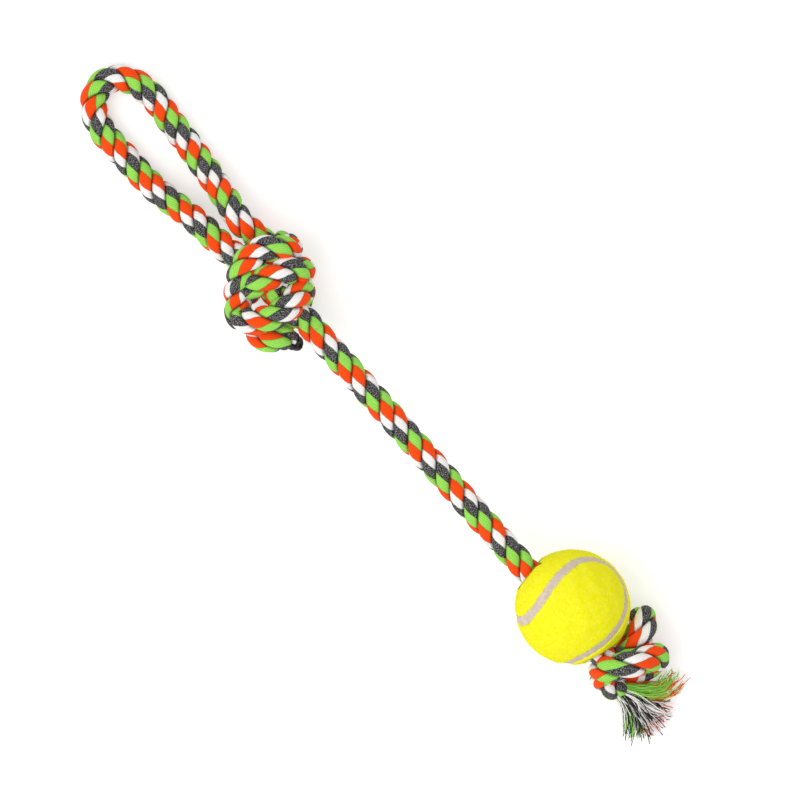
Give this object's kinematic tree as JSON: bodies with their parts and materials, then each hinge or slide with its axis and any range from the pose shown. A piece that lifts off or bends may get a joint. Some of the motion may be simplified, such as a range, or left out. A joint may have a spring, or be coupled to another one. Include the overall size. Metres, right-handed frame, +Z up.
{
  "type": "rope tug toy with a tennis ball",
  "caption": "Laid cotton rope dog toy with a knotted hand loop, a felt tennis ball that slides along the rope, and a stopper knot ending in a frayed tassel.",
  "frame": {"origin": "on the floor, under the middle of the toy's box", "axes": "+X along the straight rope from the hand loop to the tassel, +Z up from the floor that the toy lies on"},
  "size_m": [0.494, 0.0732, 0.065],
  "materials": {
    "cotton_rope": "three-strand laid cotton in orange, green, white and charcoal plies",
    "orange_yarn": "twisted cotton yarn",
    "green_yarn": "twisted cotton yarn",
    "white_yarn": "twisted cotton yarn",
    "charcoal_yarn": "marled twisted cotton yarn",
    "ball_felt": "napped fluorescent felt",
    "seam_cement": "matt cured cement",
    "ball_rubber": "matt moulded rubber",
    "sealed_tip": "melted and dipped rope end"
  },
  "bodies": {
    "rope": {"handle_knot": "cotton_rope", "tail_tip": "sealed_tip", "rope_shaft": "cotton_rope", "stopper_knot": "cotton_rope"},
    "loop": {"handle_loop": "cotton_rope"},
    "ball": {"rubber_half_front": "ball_rubber", "rubber_half_rear": "ball_rubber", "felt_panel_a": "ball_felt", "felt_panel_b": "ball_felt", "seam_band": "seam_cement"},
    "tassel": {"tassel_charcoal_1": "charcoal_yarn", "tassel_charcoal_2": "charcoal_yarn", "tassel_charcoal_3": "charcoal_yarn", "tassel_green_1": "green_yarn", "tassel_green_2": "green_yarn", "tassel_green_3": "green_yarn", "tassel_white_1": "white_yarn", "tassel_white_2": "white_yarn", "tassel_white_3": "white_yarn", "tassel_orange_1": "orange_yarn", "tassel_orange_2": "orange_yarn", "tassel_orange_3": "orange_yarn"}
  },
  "joints": [
    {"name": "ball_slide", "type": "slide", "parent": "rope", "child": "ball", "axis": [-1, 0, 0], "range_m": [0, 0.17]},
    {"name": "loop_fold", "type": "hinge", "parent": "rope", "child": "loop", "pos_m": [-0.12969, 0, 0.02201], "axis": [0, 1, 0], "range_deg": [0, 90]},
    {"name": "tassel_lift", "type": "hinge", "parent": "rope", "child": "tassel", "pos_m": [0.22081, -0.0043, 0.01251], "axis": [0, -1, 0], "range_deg": [0, 60]}
  ]
}
